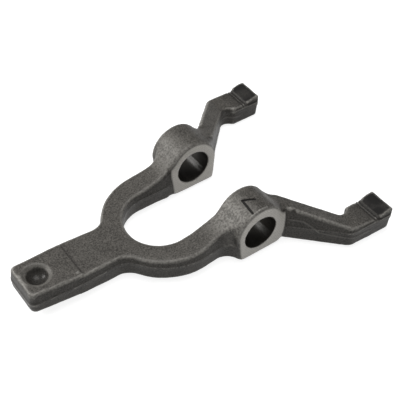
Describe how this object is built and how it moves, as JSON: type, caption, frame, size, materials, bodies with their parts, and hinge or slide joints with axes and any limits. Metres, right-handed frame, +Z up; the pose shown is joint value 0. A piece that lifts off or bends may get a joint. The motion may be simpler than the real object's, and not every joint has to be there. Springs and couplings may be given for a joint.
{
  "type": "clutch release fork",
  "caption": "One-piece forged clutch release fork: lever with a ball socket, open yoke, bored pivot bosses and cranked fingers with raised pressure pads.",
  "frame": {"origin": "middle of the pivot bore's axis, halfway between the bosses", "axes": "+X towards the finger tips, +Y along the pivot bore, +Z up, on the side where the ball socket opens"},
  "size_m": [0.2384, 0.1672, 0.0397],
  "materials": {
    "forged_steel": "dark, shot-blasted forged skin"
  },
  "bodies": {
    "root": {"clutch_fork": "forged_steel"}
  },
  "joints": []
}
